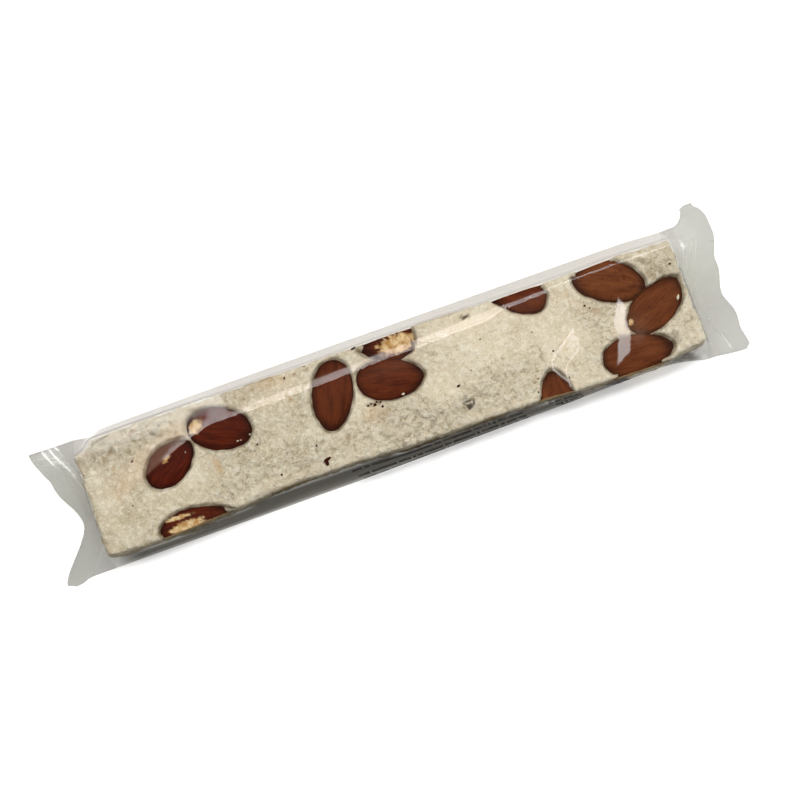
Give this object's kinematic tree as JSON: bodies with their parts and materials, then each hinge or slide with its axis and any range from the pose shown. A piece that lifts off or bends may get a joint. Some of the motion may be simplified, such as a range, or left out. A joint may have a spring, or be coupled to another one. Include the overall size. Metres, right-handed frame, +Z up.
{
  "type": "nougat bar",
  "caption": "Long flat white nougat bar with whole and cut almonds, sealed in a loose clear flow pack with a crimped seal at each end.",
  "frame": {"origin": "middle of the pack's flat base, on the surface it lies on", "axes": "+X along the bar, +Y across it to the back, +Z up out of its broad top face"},
  "size_m": [0.2438, 0.0512, 0.0171],
  "materials": {
    "film": "gloss",
    "print": "gloss",
    "nougat": "matte",
    "almond_skin": "satin",
    "almond_flesh": "satin"
  },
  "bodies": {
    "root": {"sealed_pack": "film"}
  },
  "joints": []
}
